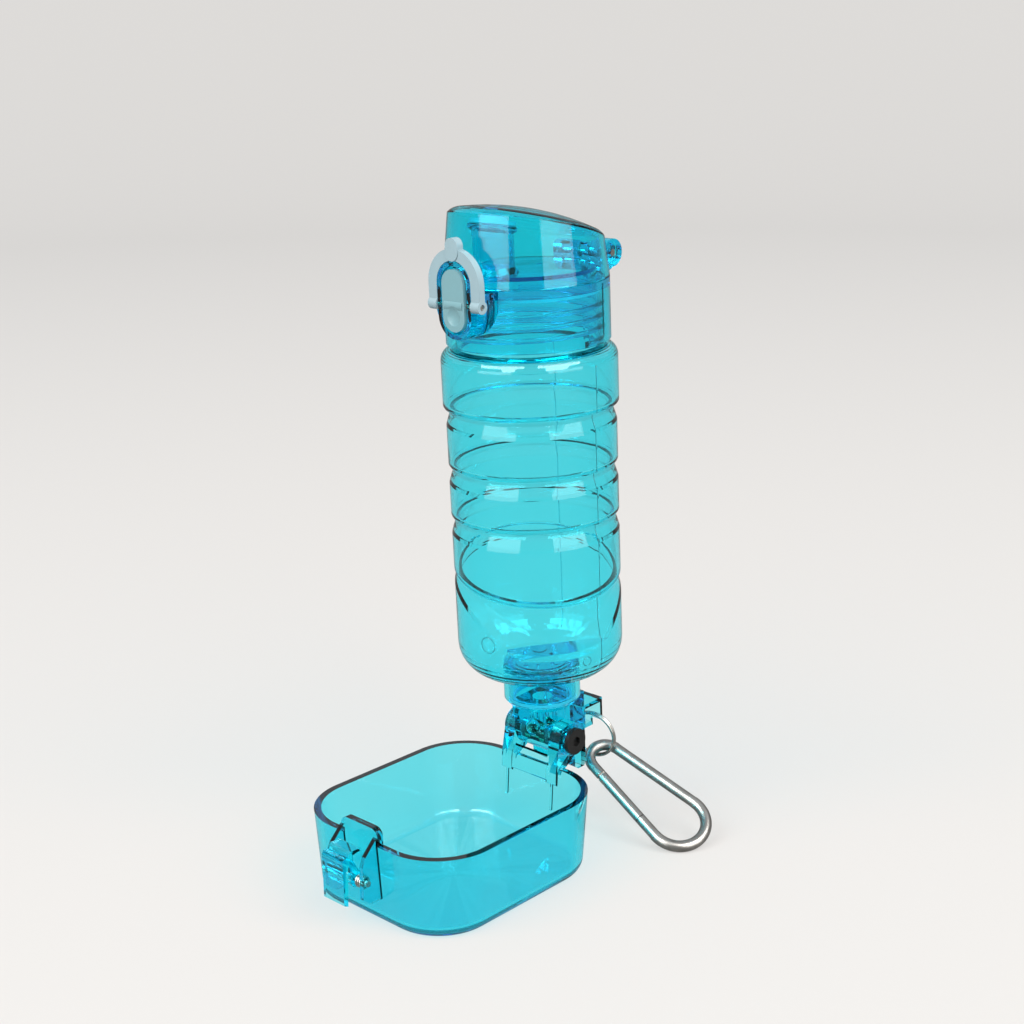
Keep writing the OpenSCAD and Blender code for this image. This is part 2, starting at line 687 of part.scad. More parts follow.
// Slanting, domed top that trims the lid: a turned solid, t inside the outer one. Below the
// rounded rim its side flares, so that it only touches the lid at the rim.
module lid_top(t) translate([0, 0, collar_top + lid_h]) rotate([-lid_slope, 0, 0]) translate([0, 2.2, -t])
    rotate_extrude($fn = 96) {
        flare = lid_slope + lid_taper;
        round_r = 5.6 - t * 0.8;
        cx = collar_r - 6.4;
        cz = -0.67 - round_r * sin(80);
        edge = [cx + round_r * cos(80), cz + round_r * sin(80)];
        dome_r = (pow(edge[0], 2) + pow(lid_dome, 2)) / (2 * lid_dome);
        side = [cx + round_r * cos(flare), cz + round_r * sin(flare)];
        polygon(concat([[0, -70], [side[0] + (70 + side[1]) * tan(flare), -70]],
            arc_points(cx, cz, round_r, flare, 80, 6),
            arc_points(0, edge[1] + lid_dome - dome_r, dome_r, 90 - asin(edge[0] / dome_r) + 2, 90, 5)));
    }

module lid_side(t) translate([0, 0, collar_top + gap])
    cylinder(r1 = collar_r - t, r2 = collar_r - t - 60 * tan(lid_taper), h = 60, $fn = 96);

// Knuckles on both sides of the lid's hinge spring
module lid_knuckles() for (s = [-1, 1])
    slab_x(s > 0 ? 3 : -lid_ear_in + gap, s > 0 ? lid_ear_in - gap : -3) {
        root_y = collar_r - 3;
        translate([lid_hinge_y, lid_hinge_z]) circle(r = knuckle_r - 0.2);
        polygon([[lid_hinge_y, lid_hinge_z + knuckle_r - 0.2], [root_y, lid_hinge_z + 4.6],
                 [root_y, collar_top + gap + 0.4], [lid_hinge_y - 1, lid_hinge_z - knuckle_r + 0.4]]);
    }

module lid() color([0.05, 0.66, 0.8, 0.6]) on_hinge() difference() {
    union() {
        difference() {
            union() {
                intersection() {
                    lid_side(0);
                    lid_top(0);
                }
                lid_knuckles();
            }
            intersection() {
                translate([0, 0, -1]) lid_side(cap_wall);
                lid_top(lid_roof);
            }
        }
        // Catch for the button
        translate([-3.6, -collar_r - 1.8, collar_top + 3]) cube([7.2, 2.4, 2.6]);
        // Stem that holds the spout's seal
        intersection() {
            on_spout() translate([0, 0, gap + 3]) cylinder(r = 4, h = 20);
            lid_top(1);
        }
    }
    translate([0, lid_hinge_y, lid_hinge_z]) rod_x(lid_pin_d / 2, 40);
}

module lid_seal() color("white") on_hinge() on_spout() translate([0, 0, gap]) difference() {
    union() {
        cylinder(r = spout_d / 2 + 1, h = 1.6);
        cylinder(r = 6, h = 2.98);
    }
    translate([0, 0, -1]) cylinder(r = 3, h = 2);
}

// Where the ring's wire crosses the lug's eye, and how the ring hangs from there:
// turned about the upright, rolled round its own middle and swung about the X axis
ring_r = (ring_d - ring_wire) / 2;
eye_point = on_bottle([0, block_back + lug_len - 5.4, lug_z + 6.4]);
ring_yaw = 12;
ring_roll = 30;
ring_swing = 8;

// A vector in the ring's plane, turned as the ring hangs
function on_ring(x, z) = [
    x * cos(ring_yaw),
    x * sin(ring_yaw) * cos(ring_swing) - z * sin(ring_swing),
    x * sin(ring_yaw) * sin(ring_swing) + z * cos(ring_swing)
];
ring_middle = eye_point + ring_r * on_ring(sin(ring_roll), -cos(ring_roll));

module ring_pose() translate(ring_middle) rotate([ring_swing, 0, 0]) rotate([0, 0, ring_yaw]) children();

module split_ring() color("silver") ring_pose() rotate([90, 0, 0]) rotate_extrude() union() {
    for (s = [-1, 1]) translate([ring_r, s * ring_wire * 0.26]) circle(r = ring_wire * 0.32, $fn = 24);
}

// The carabiner hangs on the ring's lower right and its large end rests on the ground.
// hook_seat is the place of the ring's wire inside the small end.
hook_angle = 37;
ring_low = ring_middle + ring_r * on_ring(sin(hook_angle), -cos(hook_angle));
hook_tilt = -69;
hook_yaw = 2;
hook_seat = [-1.9, 2.6];
// Height of the small end, and how far the large end reaches below its middle, at the pitch p
function eye_height(p) = ring_low[2] + hook_seat[0] * sin(p) - hook_seat[1] * cos(hook_tilt) * cos(p);
function end_drop(p) = crook_r * sqrt(pow(sin(p), 2) + pow(cos(hook_tilt) * cos(p), 2)) + rod_d / 2 + fit;
// The pitch at which the large end touches the ground
function ground_pitch(p) = asin((eye_height(p) - end_drop(p)) / carabiner_span);
hook_pitch = ground_pitch(ground_pitch(ground_pitch(ground_pitch(25))));
// A vector in the carabiner's plane, turned as it lies
function on_hook(x, y) =
    let (u = x * cos(hook_pitch) + y * cos(hook_tilt) * sin(hook_pitch), v = -y * sin(hook_tilt))
    [
        u * cos(hook_yaw) - v * sin(hook_yaw),
        u * sin(hook_yaw) + v * cos(hook_yaw),
        -x * sin(hook_pitch) + y * cos(hook_tilt) * cos(hook_pitch)
    ];
hook_pos = ring_low - on_hook(hook_seat[0], hook_seat[1]);

module hook_pose() translate(hook_pos) rotate([0, 0, hook_yaw]) rotate([0, hook_pitch, 0])
    rotate([90 + hook_tilt, 0, 0]) children();

// Angle at which the straight sides leave the end arcs, and the length of a side
side_a = acos((eye_r - crook_r) / carabiner_span);
side_len = sqrt(pow(carabiner_span, 2) - pow(crook_r - eye_r, 2));
gate_at = 8.5;
gate_len = 24;
rivet_d = 1.6;
tongue_t = 2;
side_rod_d = rod_d - 0.2;
rod_sink = 0.6;

// Stands children on the side of the carabiner, s along it from the small end, with X along the side
module on_side(up, s) translate([eye_r * cos(side_a), up * eye_r * sin(side_a), 0])
    rotate([0, 0, up * (90 - (180 - side_a))]) translate([s, 0, 0]) children();

// Arc of the rod round an end, on the far side of the rays at the angles a and -a. dir is -1 or 1
module rod_arc(r, a, dir) intersection() {
    rotate_extrude() translate([r, 0]) circle(r = rod_d / 2);
    far = 4 * r;
    linear_extrude(2 * rod_d, center = true) polygon([
        [0, 0],
        [far * cos(a), -far * sin(a)],
        [dir * far, -far * sin(a)],
        [dir * far, far * sin(a)],
        [far * cos(a), far * sin(a)]
    ]);
}

// Straight rod along a side of the carabiner, from s on, a trace thinner than the bent ends it runs into
module side_rod(up, s, len) on_side(up, s) rotate([0, 90, 0]) cylinder(r = side_rod_d / 2, h = len);

module carabiner() color("silver") hook_pose() difference() {
    union() {
        rod_arc(eye_r, side_a, -1);
        translate([carabiner_span, 0, 0]) rod_arc(crook_r, side_a, 1);
        side_rod(1, -rod_sink, side_len + 2 * rod_sink);
        side_rod(-1, -rod_sink, gate_at - 3 + rod_sink);
        side_rod(-1, gate_at + gate_len + 0.4, side_len - gate_at - gate_len - 0.4 + rod_sink);
        // Tongue that carries the gate
        on_side(-1, gate_at - 4) translate([0, -1.7, -tongue_t / 2]) cube([5.8, 3.4, tongue_t]);
    }
    on_side(-1, gate_at) cylinder(r = rivet_d / 2, h = 2 * rod_d, center = true);
}

module carabiner_gate() color("silver") hook_pose() on_side(-1, gate_at) difference() {
    translate([-2.2, 0, 0]) rotate([0, 90, 0]) cylinder(r = side_rod_d / 2, h = gate_len + 2.2);
    // Slot over the tongue, open towards the small end
    translate([-rod_d, -rod_d, -tongue_t / 2 - 0.15]) cube([rod_d + 2.6, 2 * rod_d, tongue_t + 0.3]);
    cylinder(r = rivet_d / 2 - fit, h = 2 * rod_d, center = true);
}

module gate_rivet() color("silver") hook_pose() on_side(-1, gate_at)
    cylinder(r = rivet_d / 2 - 2 * fit, h = rod_d - 0.6, center = true);

bowl();
hinge_screw();
hinge_nut();
latch_pin();
latch_spring();
latch_lever();
bottle_body();
outlet_cap();
outlet_gasket();
outlet_disc();
valve_barrel();
valve_seal_left();
valve_seal_right();
collar_gasket();
collar();
spout();
lid_pin();
lid_spring();
cross_pin();
button_spring();
push_button();
bail_lock();
lid();
lid_seal();
split_ring();
carabiner();
carabiner_gate();
gate_rivet();
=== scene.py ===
"""Looks of a dog travel water bottle: a flip-top bottle standing on its hinged drinking bowl.

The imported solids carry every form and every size. This file dresses them in clear cyan plastic,
milky plastic, silicone, rubber and metal, and adds the small moulded details: the screw thread on
the filling neck, the rib on the collar, the mould's parting lines and the round ejector marks.
Lengths are in metres.
"""

import logging
import math
from dataclasses import dataclass, field
from enum import Enum

import bmesh
import bpy
from mathutils import Matrix, Vector
from mathutils.bvhtree import BVHTree


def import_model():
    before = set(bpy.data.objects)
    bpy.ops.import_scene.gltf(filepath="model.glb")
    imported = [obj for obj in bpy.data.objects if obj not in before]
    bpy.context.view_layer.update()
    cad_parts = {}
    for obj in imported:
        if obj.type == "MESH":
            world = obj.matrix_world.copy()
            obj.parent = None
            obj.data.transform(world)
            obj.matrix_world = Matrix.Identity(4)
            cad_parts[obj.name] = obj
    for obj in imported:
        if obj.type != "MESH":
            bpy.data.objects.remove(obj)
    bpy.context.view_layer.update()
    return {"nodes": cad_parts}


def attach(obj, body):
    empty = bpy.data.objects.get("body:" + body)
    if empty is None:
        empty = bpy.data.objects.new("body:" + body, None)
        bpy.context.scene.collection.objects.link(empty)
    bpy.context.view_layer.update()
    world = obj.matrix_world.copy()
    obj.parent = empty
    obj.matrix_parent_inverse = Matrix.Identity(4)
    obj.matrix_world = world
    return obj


LOG = logging.getLogger("bottle")

Colour = tuple[float, float, float]
Outline = list[tuple[float, float]]

# The bottle's own frame: its origin is on the hinge pin, and it leans over the bowl
HINGE_Y = 0.0566
HINGE_Z = 0.0462
LEAN = math.radians(2.2)


def bottle_frame() -> Matrix:
    """The matrix from the bottle's frame, whose origin is on the hinge pin, to the part's frame.

    Returns:
        A matrix that leans and lifts points given in the bottle's frame.
    """
    return Matrix.Translation((0.0, HINGE_Y, HINGE_Z)) @ Matrix.Rotation(LEAN, 4, "X")


def direction(turn: float, height: float = 0.0) -> Vector:
    """A direction given by two angles.

    Args:
        turn: Its angle from the front, turned towards +X, in degrees.
        height: Its height over the horizon, in degrees.

    Returns:
        A unit vector.
    """
    around, up = math.radians(turn), math.radians(height)
    level = math.cos(up)
    return Vector((math.sin(around) * level, -math.cos(around) * level, math.sin(up)))


# --------------------------------------------------------------------------------------------
# Shader groups
# --------------------------------------------------------------------------------------------


class SurfaceGroup:
    """A shader node group that several finishes share, built once and placed with their own values."""

    name: str = "surface"
    inputs: tuple[tuple[str, float], ...] = ()
    outputs: tuple[str, ...] = ()

    def tree(self) -> bpy.types.NodeTree:
        """The group's node tree, built at the first call."""
        found = bpy.data.node_groups.get(self.name)
        if found is not None:
            return found
        group = bpy.data.node_groups.new(self.name, "ShaderNodeTree")
        for label, value in self.inputs:
            socket = group.interface.new_socket(name=label, in_out="INPUT", socket_type="NodeSocketFloat")
            socket.default_value = value
        for label in self.outputs:
            group.interface.new_socket(name=label, in_out="OUTPUT", socket_type="NodeSocketFloat")
        self.wire(group)
        return group

    def wire(self, group: bpy.types.NodeTree) -> None:
        """Adds the group's nodes and links.

        Args:
            group: The empty node tree with its sockets already made.
        """
        raise NotImplementedError

    def place(self, tree: bpy.types.NodeTree, **values: float) -> bpy.types.Node:
        """Puts the group into a material.

        Args:
            tree: The material's node tree.
            **values: A value for each named input, with underscores for spaces.

        Returns:
            The group node.
        """
        node = tree.nodes.new("ShaderNodeGroup")
        node.node_tree = self.tree()
        for key, value in values.items():
            node.inputs[key.replace("_", " ").capitalize()].default_value = value
        return node


def feed(
    group: bpy.types.NodeTree, value: bpy.types.NodeSocket | float, socket: bpy.types.NodeSocket
) -> None:
    """Gives a node's input its value.

    Args:
        group: The node tree.
        value: A number to set, or another node's output to link.
        socket: The input.
    """
    if isinstance(value, (int, float)):
        socket.default_value = value
    else:
        group.links.new(value, socket)


def noise_node(
    group: bpy.types.NodeTree,
    vector: bpy.types.NodeSocket,
    scale: bpy.types.NodeSocket | float,
    detail: float,
    rough: float = 0.55,
) -> bpy.types.NodeSocket:
    """Adds a noise texture read at a point.

    Args:
        group: The node tree to add to.
        vector: The socket with the point to read at.
        scale: Waves in a metre, as a socket or a number.
        detail: Octaves of noise.
        rough: Strength of the finer octaves.

    Returns:
        The socket with the noise.
    """
    node = group.nodes.new("ShaderNodeTexNoise")
    node.inputs["Detail"].default_value = detail
    node.inputs["Roughness"].default_value = rough
    feed(group, scale, node.inputs["Scale"])
    group.links.new(vector, node.inputs["Vector"])
    return node.outputs["Fac"]


def math_node(
    group: bpy.types.NodeTree,
    kind: str,
    first: bpy.types.NodeSocket | float,
    second: bpy.types.NodeSocket | float,
) -> bpy.types.NodeSocket:
    """Adds a math node.

    Args:
        group: The node tree to add to.
        kind: The node's operation, such as MULTIPLY.
        first: A socket or a number.
        second: A socket or a number.

    Returns:
        The node's output socket.
    """
    node = group.nodes.new("ShaderNodeMath")
    node.operation = kind
    feed(group, first, node.inputs[0])
    feed(group, second, node.inputs[1])
    return node.outputs[0]


class MouldedSkin(SurfaceGroup):
    """The skin of moulded plastic: slow ripples of the wall and faint scuffs."""

    name = "moulded_skin"
    inputs = (("Polish", 0.03), ("Scuffs", 0.06), ("Ripple scale", 60.0), ("Ripple depth", 0.5))
    outputs = ("Roughness", "Height")
    ripple_detail = 1.5
    scuff_scale = 420.0
    scuff_detail = 5.0
    scuff_rough = 0.7
    scuff_start = 0.52
    scuff_full = 0.78

    def wire(self, group: bpy.types.NodeTree) -> None:
        """Adds the group's nodes and links.

        Args:
            group: The empty node tree with its sockets already made.
        """
        enter = group.nodes.new("NodeGroupInput")
        leave = group.nodes.new("NodeGroupOutput")
        where = group.nodes.new("ShaderNodeTexCoord").outputs["Object"]
        ripple = noise_node(group, where, enter.outputs["Ripple scale"], self.ripple_detail)
        height = math_node(group, "MULTIPLY", ripple, enter.outputs["Ripple depth"])
        scuff = noise_node(group, where, self.scuff_scale, self.scuff_detail, self.scuff_rough)
        ramp = group.nodes.new("ShaderNodeMapRange")
        ramp.inputs["From Min"].default_value = self.scuff_start
        ramp.inputs["From Max"].default_value = self.scuff_full
        group.links.new(scuff, ramp.inputs["Value"])
        worn = math_node(group, "MULTIPLY", ramp.outputs["Result"], enter.outputs["Scuffs"])
        rough = math_node(group, "ADD", worn, enter.outputs["Polish"])
        group.links.new(rough, leave.inputs["Roughness"])
        group.links.new(height, leave.inputs["Height"])


class MetalSkin(SurfaceGroup):
    """The skin of plated or blackened metal: a fine grain and duller patches."""

    name = "metal_skin"
    inputs = (("Polish", 0.15), ("Wear", 0.2), ("Grain scale", 900.0))
    outputs = ("Roughness", "Height", "Tarnish")
    grain_detail = 2.0
    patch_scale = 180.0
    patch_detail = 3.0

    def wire(self, group: bpy.types.NodeTree) -> None:
        """Adds the group's nodes and links.

        Args:
            group: The empty node tree with its sockets already made.
        """
        enter = group.nodes.new("NodeGroupInput")
        leave = group.nodes.new("NodeGroupOutput")
        where = group.nodes.new("ShaderNodeTexCoord").outputs["Object"]
        grain = noise_node(group, where, enter.outputs["Grain scale"], self.grain_detail)
        patch = noise_node(group, where, self.patch_scale, self.patch_detail)
        worn = math_node(group, "MULTIPLY", patch, enter.outputs["Wear"])
        rough = math_node(group, "ADD", worn, enter.outputs["Polish"])
        group.links.new(rough, leave.inputs["Roughness"])
        group.links.new(grain, leave.inputs["Height"])
        group.links.new(patch, leave.inputs["Tarnish"])


# --------------------------------------------------------------------------------------------
# Finishes
# --------------------------------------------------------------------------------------------


def new_material(name: str) -> tuple[bpy.types.Material, bpy.types.Node, bpy.types.Node]:
    """Makes an empty node material.

    Args:
        name: The material's name.

    Returns:
        The material, its Principled BSDF and its output node.
    """
    material = bpy.data.materials.new(name)
    material.use_nodes = True
    tree = material.node_tree
    tree.nodes.clear()
    shader = tree.nodes.new("ShaderNodeBsdfPrincipled")
    output = tree.nodes.new("ShaderNodeOutputMaterial")
    tree.links.new(shader.outputs["BSDF"], output.inputs["Surface"])
    return material, shader, output


def wear_skin(
    tree: bpy.types.NodeTree,
    shader: bpy.types.Node,
    skin: bpy.types.Node,
    strength: float,
    depth: float,
) -> None:
    """Lets a skin rule a shader's roughness and bend its normal.

    Args:
        tree: The material's node tree.
        shader: The shader.
        skin: The skin's group node, with the outputs Roughness and Height.
        strength: Strength of the bump.
        depth: The height of one unit.
    """
    tree.links.new(skin.outputs["Roughness"], shader.inputs["Roughness"])
    bump = tree.nodes.new("ShaderNodeBump")
    bump.inputs["Strength"].default_value = strength
    bump.inputs["Distance"].default_value = depth
    tree.links.new(skin.outputs["Height"], bump.inputs["Height"])
    tree.links.new(bump.outputs["Normal"], shader.inputs["Normal"])


@dataclass(frozen=True)
class ClearPlastic:
    """Clear dyed plastic: it bends light, tints it at its faces and takes its red on the way through.

    Attributes:
        name: The material's name.
        tint: The tint of light that crosses a face.
        passed: The share of each colour that the dye doesn't absorb.
        density: How strongly the dye absorbs.
        shade: The tint of the light that reaches other things through the plastic.
        polish: Roughness of a clean face.
        scuffs: How much rougher a scuff is.
        ripple_scale: Waves of the wall in a metre.
        ripple_depth: Height of the waves.
        bump_strength: Strength of the bump.
        bump_depth: The height of one unit of bump.
        ior: Index of refraction.
    """

    name: str
    tint: Colour
    passed: Colour
    density: float
    shade: Colour
    polish: float = 0.02
    scuffs: float = 0.05
    ripple_scale: float = 55.0
    ripple_depth: float = 0.5
    bump_strength: float = 0.25
    bump_depth: float = 0.0008
    ior: float = 1.42

    def material(self) -> bpy.types.Material:
        """The finish's material."""
        material, shader, output = new_material(self.name)
        tree = material.node_tree
        skin = MouldedSkin().place(
            tree,
            polish=self.polish,
            scuffs=self.scuffs,
            ripple_scale=self.ripple_scale,
            ripple_depth=self.ripple_depth,
        )
        shader.inputs["Base Color"].default_value = (*self.tint, 1.0)
        shader.inputs["Transmission Weight"].default_value = 1.0
        shader.inputs["IOR"].default_value = self.ior
        wear_skin(tree, shader, skin, self.bump_strength, self.bump_depth)
        dye = tree.nodes.new("ShaderNodeVolumeAbsorption")
        dye.inputs["Color"].default_value = (*self.passed, 1.0)
        dye.inputs["Density"].default_value = self.density
        tree.links.new(dye.outputs["Volume"], output.inputs["Volume"])
        # Light on its way to other things goes straight on through the plastic
        straight = tree.nodes.new("ShaderNodeBsdfTransparent")
        straight.inputs["Color"].default_value = (*self.shade, 1.0)
        path = tree.nodes.new("ShaderNodeLightPath")
        either = math_node(tree, "MAXIMUM", path.outputs["Is Shadow Ray"], path.outputs["Is Diffuse Ray"])
        mix = tree.nodes.new("ShaderNodeMixShader")
        tree.links.new(either, mix.inputs["Fac"])
        tree.links.new(shader.outputs["BSDF"], mix.inputs[1])
        tree.links.new(straight.outputs["BSDF"], mix.inputs[2])
        tree.links.new(mix.outputs["Shader"], output.inputs["Surface"])
        return material


@dataclass(frozen=True)
class SoftPlastic:
    """Plastic or rubber that isn't clear: it may let a little light through.

    Attributes:
        name: The material's name.
        colour: The colour.
        roughness: Roughness of a clean face.
        through: The share of light that goes through.
        grain: How much rougher a scuff is.
        ripple_scale: Waves of the wall in a metre.
        ripple_depth: Height of the waves.
        bump_strength: Strength of the bump.
        bump_depth: The height of one unit of bump.
        ior: Index of refraction.
    """

    name: str
    colour: Colour
    roughness: float
    through: float = 0.0
    grain: float = 0.08
    ripple_scale: float = 240.0
    ripple_depth: float = 0.3
    bump_strength: float = 0.3
    bump_depth: float = 0.0003
    ior: float = 1.45

    def material(self) -> bpy.types.Material:
        """The finish's material."""
        material, shader, _ = new_material(self.name)
        tree = material.node_tree
        skin = MouldedSkin().place(
            tree,
            polish=self.roughness,
            scuffs=self.grain,
            ripple_scale=self.ripple_scale,
            ripple_depth=self.ripple_depth,
        )
        shader.inputs["Base Color"].default_value = (*self.colour, 1.0)
        shader.inputs["Transmission Weight"].default_value = self.through
        shader.inputs["IOR"].default_value = self.ior
        wear_skin(tree, shader, skin, self.bump_strength, self.bump_depth)
        return material


@dataclass(frozen=True)
class Metal:
    """Plated or blackened metal.

    Attributes:
        name: The material's name.
        bright: The colour where it is clean.
        dull: The colour of the duller patches.
        polish: Roughness where it is clean.
        wear: How much rougher the patches are.
        metallic: 1 for plated metal, 0 for metal under a black coat.
        specular: Strength of the mirroring that isn't the metal's own.
        grain_scale: Grains in a metre.
        bump_strength: Strength of the bump.
        bump_depth: The height of one unit of bump.
    """

    name: str
    bright: Colour
    dull: Colour
    polish: float
    wear: float
    metallic: float = 1.0
    specular: float = 0.2
    grain_scale: float = 1100.0
    bump_strength: float = 0.12
    bump_depth: float = 0.00006

    def material(self) -> bpy.types.Material:
        """The finish's material."""
        material, shader, _ = new_material(self.name)
        tree = material.node_tree
        skin = MetalSkin().place(tree, polish=self.polish, wear=self.wear, grain_scale=self.grain_scale)
        mix = tree.nodes.new("ShaderNodeMix")
        mix.data_type = "RGBA"
        mix.inputs["A"].default_value = (*self.bright, 1.0)
        mix.inputs["B"].default_value = (*self.dull, 1.0)
        tree.links.new(skin.outputs["Tarnish"], mix.inputs["Factor"])
        tree.links.new(mix.outputs["Result"], shader.inputs["Base Color"])
        shader.inputs["Metallic"].default_value = self.metallic
        shader.inputs["Specular IOR Level"].default_value = self.specular
        wear_skin(tree, shader, skin, self.bump_strength, self.bump_depth)
        return material


class Finish(Enum):
    """The finishes of the bottle's pieces, each with the record's slot that it stands for."""

    BODY = (
        "bottle_plastic",
        ClearPlastic(
            "clear_body",
            tint=(0.54, 0.93, 0.975),
            passed=(0.0, 0.94, 0.98),
            density=450.0,
            shade=(0.66, 0.95, 1.0),
        ),
    )
    BOWL = (
        "bowl_plastic",
        ClearPlastic(
            "clear_bowl",
            tint=(0.5, 0.915, 0.965),
            passed=(0.0, 0.93, 0.975),
            density=290.0,
            shade=(0.74, 0.95, 1.0),
        ),
    )
    CAP = (
        "cap_plastic",
        ClearPlastic(
            "clear_cap",
            tint=(0.3, 0.92, 0.97),
            passed=(0.0, 0.938, 0.977),
            density=680.0,
            shade=(0.60, 0.93, 0.98),
        ),
    )
    BLOCK = (
        "cap_plastic",
        ClearPlastic(
            "clear_block",
            tint=(0.5, 0.92, 0.965),
            passed=(0.0, 0.925, 0.97),
            density=280.0,
            shade=(0.66, 0.93, 0.98),
            ior=1.26,
        ),
    )
    THREAD = (
        "bottle_plastic",
        ClearPlastic(
            "clear_thread",
            tint=(0.6, 0.94, 0.98),
            passed=(0.0, 0.9, 0.97),
            density=600.0,
            shade=(0.66, 0.95, 1.0),
            ior=1.16,
        ),
    )
    BARREL = (
        "valve_plastic",
        ClearPlastic(
            "clear_barrel",
            tint=(1.0, 1.0, 1.0),
            passed=(0.0, 0.80, 0.62),
            density=420.0,
            shade=(0.6, 0.85, 0.8),
        ),
    )
    MILKY = (
        "milky_plastic",
        SoftPlastic("milky_insert", colour=(0.22, 0.31, 0.345), roughness=0.34, through=0.3),
    )
    INSERT = (
        "milky_plastic",
        SoftPlastic("button_insert", colour=(0.14, 0.27, 0.30), roughness=0.3, through=0.3),
    )
    SILICONE = (
        "silicone",
        SoftPlastic("pale_silicone", colour=(0.32, 0.46, 0.50), roughness=0.45, through=0.35),
    )
    RUBBER = ("seal_rubber", SoftPlastic("dark_rubber", colour=(0.02, 0.03, 0.03), roughness=0.5))
    BLACK = (
        "black_steel",
        Metal(
            "blackened_steel",
            bright=(0.008, 0.008, 0.008),
            dull=(0.004, 0.004, 0.004),
            polish=0.26,
            wear=0.14,
            metallic=0.0,
        ),
    )
    STEEL = (
        "steel",
        Metal(
            "plated_steel",
            bright=(0.50, 0.49, 0.46),
            dull=(0.20, 0.195, 0.18),
            polish=0.2,
            wear=0.14,
        ),
    )
    ALLOY = (
        "alloy",
        Metal(
            "plated_alloy",
            bright=(0.42, 0.41, 0.385),
            dull=(0.12, 0.115, 0.11),
            polish=0.24,
            wear=0.16,
        ),
    )

    @property
    def slot(self) -> str:
        """The record's material slot."""
        return self.value[0]

    def made(self) -> bpy.types.Material:
        """The finish's material, made at the first call."""
        found = bpy.data.materials.get(self.value[1].name)
        return found or self.value[1].material()


# --------------------------------------------------------------------------------------------
# Meshes
# --------------------------------------------------------------------------------------------


def placed_object(name: str, mesh: bmesh.types.BMesh, smooth: bool) -> bpy.types.Object:
    """Makes an object of a mesh and puts it into the scene.

    Args:
        name: The object's name.
        mesh: The mesh; it is freed.
        smooth: Whether its faces are shaded smooth.

    Returns:
        The new object.
    """
    data = bpy.data.meshes.new(name)
    mesh.to_mesh(data)
    mesh.free()
    for face in data.polygons:
        face.use_smooth = smooth
    placed = bpy.data.objects.new(name, data)
    bpy.context.scene.collection.objects.link(placed)
    return placed


def add_piece(
    name: str, mesh: bmesh.types.BMesh, finish: Finish, body: str, smooth: bool = True
) -> None:
    """Makes a piece of a mesh that is already in the part's frame, dresses it and lets it ride.

    Args:
        name: The piece's name.
        mesh: The mesh; it is freed.
        finish: The piece's finish.
        body: The body that the piece moves with.
        smooth: Whether its faces are shaded smooth.
    """
    bmesh.ops.recalc_face_normals(mesh, faces=mesh.faces)
    piece = placed_object(name, mesh, smooth)
    piece.data.materials.append(finish.made())
    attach(piece, body)
    LOG.info("piece %s rides on %s", name, body)


def ridge_outline(half: float, rise: float, flat: float, sunk: float) -> Outline:
    """The outline of a low ridge with a flat crest and sloping sides.

    Args:
        half: Half of its width at the foot.
        rise: Its height over the surface.
        flat: The crest's share of the width.
        sunk: How deep its foot is sunk into the surface.

    Returns:
        Pairs: along the surface's normal, and across the ridge.
    """
    return [(-sunk, -half), (rise, -half * flat), (rise, half * flat), (-sunk, half)]


def swept_mesh(
    path: list[Vector], outline: Outline, out: list[Vector], closed: bool = False
) -> bmesh.types.BMesh:
    """Sweeps a closed outline along a path.

    Args:
        path: Points of the path.
        outline: The outline as pairs: along out, and across it.
        out: For each point of the path, the direction that the outline's first number follows.
        closed: Whether the path is a loop.

    Returns:
        The swept mesh, with end faces unless the path is a loop.
    """
    mesh = bmesh.new()
    rings = []
    count = len(path)
    for i, point in enumerate(path):
        before = path[i - 1] if (closed or i > 0) else path[i]
        after = path[(i + 1) % count] if (closed or i < count - 1) else path[i]
        along = (after - before).normalized()
        across = along.cross(out[i]).normalized()
        outward = across.cross(along).normalized()
        rings.append([mesh.verts.new(point + outward * u + across * v) for u, v in outline])
    size = len(outline)
    for i in range(count if closed else count - 1):
        first, second = rings[i], rings[(i + 1) % count]
        for j in range(size):
            mesh.faces.new((first[j], first[(j + 1) % size], second[(j + 1) % size], second[j]))
    if not closed:
        mesh.faces.new(rings[0])
        mesh.faces.new(rings[-1][::-1])
    return mesh


def turned_mesh(outline: Outline, around: int) -> bmesh.types.BMesh:
    """Turns an outline about the Z axis into a sheet that is closed in the middle.

    Args:
        outline: The outline as pairs of radius and height, without the point on the axis.
        around: Faces in one turn.

    Returns:
        The turned mesh.
    """
    mesh = bmesh.new()
    centre = mesh.verts.new((0.0, 0.0, 0.0))
    turns = [2 * math.pi * k / around for k in range(around)]
    rings = [
        [mesh.verts.new((radius * math.cos(turn), radius * math.sin(turn), z)) for turn in turns]
        for radius, z in outline
    ]
    for k in range(around):
        after = (k + 1) % around
        mesh.faces.new((centre, rings[0][k], rings[0][after]))
        for low, high in zip(rings, rings[1:]):
            mesh.faces.new((low[k], high[k], high[after], low[after]))
    return mesh


def search_tree(node: str) -> BVHTree:
    """A search tree of a solid's faces, in the part's frame.

    Args:
        node: The solid's name.

    Returns:
        The tree.
    """
    data = bpy.data.objects[node].data
    corners = [vertex.co.copy() for vertex in data.vertices]
    return BVHTree.FromPolygons(corners, [tuple(face.vertices) for face in data.polygons])


# --------------------------------------------------------------------------------------------
# Sub-assemblies
# --------------------------------------------------------------------------------------------


